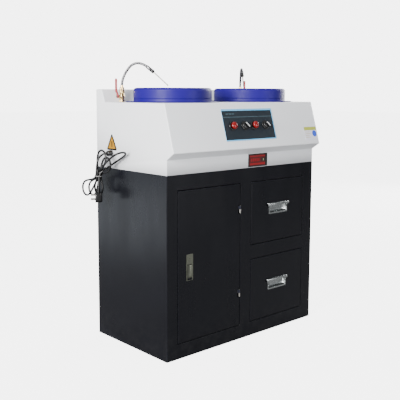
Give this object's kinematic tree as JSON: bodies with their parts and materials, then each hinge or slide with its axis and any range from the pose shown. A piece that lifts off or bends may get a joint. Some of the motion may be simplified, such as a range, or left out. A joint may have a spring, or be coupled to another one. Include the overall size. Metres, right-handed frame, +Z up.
{
  "type": "twin-disc lapidary grinding and polishing machine",
  "caption": "Floor-standing cabbing machine: flat rotating laps in splash basins on a sloping-front housing over a cabinet with a door and drawers.",
  "frame": {"origin": "centre of the cabinet's underside, on the floor", "axes": "+X to the machine's right as its user faces it, +Y towards the rear, +Z up"},
  "size_m": [0.9476, 0.532, 1.1515],
  "materials": {
    "cabinet_paint": "satin charcoal enamel with a faint orange peel",
    "housing_paint": "satin off-white enamel",
    "basin_blue": "semi-gloss moulded blue plastic",
    "machined_steel": "turned and ground steel",
    "zinc_steel": "zinc plated",
    "chrome_trim": "bright chrome",
    "platen_aluminium": "machined aluminium",
    "abrasive_disc": "fine diamond grit on a steel disc",
    "valve_brass": "machined brass",
    "lever_red": "red vinyl dip",
    "button_red": "glossy red plastic",
    "black_plastic": "matte black plastic",
    "panel_film": "printed polycarbonate film",
    "hose_black": "ribbed black hose on a plated nozzle",
    "cord_black": "soft black PVC",
    "belt_rubber": "moulded rubber",
    "motor_paint": "blue-grey hammered enamel",
    "drain_plastic": "grey-white pipe plastic"
  },
  "bodies": {
    "machine": {"cabinet_floor": "cabinet_paint", "cabinet_left_side": "cabinet_paint", "cabinet_right_side": "cabinet_paint", "cabinet_back_panel": "cabinet_paint", "cabinet_front_frame": "cabinet_paint", "cabinet_partition": "cabinet_paint", "bed_plate": "machined_steel", "upper_hinge_pin": "zinc_steel", "lower_hinge_pin": "zinc_steel", "housing_left_end": "housing_paint", "housing_right_end": "housing_paint", "deck_panel": "housing_paint", "front_fascia": "housing_paint", "rear_splash": "housing_paint", "control_plate": "panel_film", "drain_manifold": "drain_plastic", "cable_gland": "black_plastic", "power_plug": "black_plastic", "power_cord_lead": "cord_black", "power_cord_hank": "cord_black", "left_stop_bezel": "black_plastic", "left_selector_bezel": "black_plastic", "left_basin": "basin_blue", "left_splash_ring": "basin_blue", "left_bearing_tube": "machined_steel", "left_motor": "motor_paint", "left_belt": "belt_rubber", "left_valve_body": "valve_brass", "right_stop_bezel": "black_plastic", "right_selector_bezel": "black_plastic", "right_basin": "basin_blue", "right_splash_ring": "basin_blue", "right_bearing_tube": "machined_steel", "right_motor": "motor_paint", "right_belt": "belt_rubber", "right_valve_body": "valve_brass"},
    "door": {"cabinet_door": "cabinet_paint", "door_latch_plate": "zinc_steel"},
    "latch_paddle": {"door_latch_paddle": "zinc_steel"},
    "lock_cylinder": {"door_lock_cylinder": "zinc_steel"},
    "upper_drawer_unit": {"upper_drawer": "cabinet_paint", "upper_drawer_pull": "chrome_trim"},
    "lower_drawer_unit": {"lower_drawer": "cabinet_paint", "lower_drawer_pull": "chrome_trim"},
    "left_lap_unit": {"left_spindle": "machined_steel", "left_platen": "platen_aluminium", "left_lap": "abrasive_disc"},
    "left_motor_rotor": {"left_motor_pulley": "machined_steel"},
    "left_lever": {"left_valve_lever": "lever_red"},
    "left_spout": {"left_gooseneck": "hose_black"},
    "left_button": {"left_stop_button": "button_red"},
    "left_knob": {"left_selector_lever": "black_plastic"},
    "right_lap_unit": {"right_spindle": "machined_steel", "right_platen": "platen_aluminium", "right_lap": "abrasive_disc"},
    "right_motor_rotor": {"right_motor_pulley": "machined_steel"},
    "right_lever": {"right_valve_lever": "lever_red"},
    "right_spout": {"right_gooseneck": "hose_black"},
    "right_button": {"right_stop_button": "button_red"},
    "right_knob": {"right_selector_lever": "black_plastic"}
  },
  "joints": [
    {"name": "door_swing", "type": "hinge", "parent": "machine", "child": "door", "pos_m": [-0.037, -0.231, 0.36], "axis": [0, 0, 1], "range_deg": [0, 95]},
    {"name": "latch_paddle_flip", "type": "hinge", "parent": "door", "child": "latch_paddle", "pos_m": [-0.312, -0.2298, 0.364], "axis": [-1, 0, 0], "range_deg": [0, 35], "stiffness_Nm_per_rad": 0.05, "springref_deg": -17.19},
    {"name": "door_lock_turn", "type": "hinge", "parent": "door", "child": "lock_cylinder", "pos_m": [-0.312, -0.23, 0.387], "axis": [0, 1, 0], "range_deg": [0, 90]},
    {"name": "upper_drawer_slide", "type": "slide", "parent": "machine", "child": "upper_drawer_unit", "axis": [0, -1, 0], "range_m": [0, 0.3]},
    {"name": "lower_drawer_slide", "type": "slide", "parent": "machine", "child": "lower_drawer_unit", "axis": [0, -1, 0], "range_m": [0, 0.3]},
    {"name": "left_lap_spin", "type": "hinge", "parent": "machine", "child": "left_lap_unit", "pos_m": [-0.224, -0.025, 0.99], "axis": [0, 0, 1], "continuous": true},
    {"name": "left_motor_spin", "type": "hinge", "parent": "machine", "child": "left_motor_rotor", "pos_m": [-0.106, 0.075, 0.72], "axis": [0, 0, 1], "continuous": true},
    {"name": "left_valve_turn", "type": "hinge", "parent": "machine", "child": "left_lever", "pos_m": [-0.3668, 0.155, 1.01], "axis": [1, 0, 0], "range_deg": [0, 90]},
    {"name": "left_spout_swivel", "type": "hinge", "parent": "machine", "child": "left_spout", "pos_m": [-0.3475, 0.155, 1.04], "axis": [0, 0, 1], "range_deg": [-50, 50]},
    {"name": "left_stop_press", "type": "slide", "parent": "machine", "child": "left_button", "axis": [0, 0.9593, -0.2823], "range_m": [0, 0.004], "stiffness_N_per_m": 400, "springref_m": -0.002},
    {"name": "left_selector_turn", "type": "hinge", "parent": "machine", "child": "left_knob", "pos_m": [-0.031, -0.24346, 0.89468], "axis": [0, 0.9593, -0.2823], "range_deg": [0, 90]},
    {"name": "right_lap_spin", "type": "hinge", "parent": "machine", "child": "right_lap_unit", "pos_m": [0.224, -0.025, 0.99], "axis": [0, 0, 1], "continuous": true},
    {"name": "right_motor_spin", "type": "hinge", "parent": "machine", "child": "right_motor_rotor", "pos_m": [0.106, 0.075, 0.72], "axis": [0, 0, 1], "continuous": true},
    {"name": "right_valve_turn", "type": "hinge", "parent": "machine", "child": "right_lever", "pos_m": [0.3668, 0.155, 1.01], "axis": [1, 0, 0], "range_deg": [0, 90]},
    {"name": "right_spout_swivel", "type": "hinge", "parent": "machine", "child": "right_spout", "pos_m": [0.3475, 0.155, 1.04], "axis": [0, 0, 1], "range_deg": [-50, 50]},
    {"name": "right_stop_press", "type": "slide", "parent": "machine", "child": "right_button", "axis": [0, 0.9593, -0.2823], "range_m": [0, 0.004], "stiffness_N_per_m": 400, "springref_m": -0.002},
    {"name": "right_selector_turn", "type": "hinge", "parent": "machine", "child": "right_knob", "pos_m": [0.091, -0.24346, 0.89468], "axis": [0, 0.9593, -0.2823], "range_deg": [0, 90]}
  ],
  "couplings": [
    {"joint": "left_motor_spin", "follows": "left_lap_spin", "ratio": 1.5},
    {"joint": "right_motor_spin", "follows": "right_lap_spin", "ratio": 1.5}
  ]
}
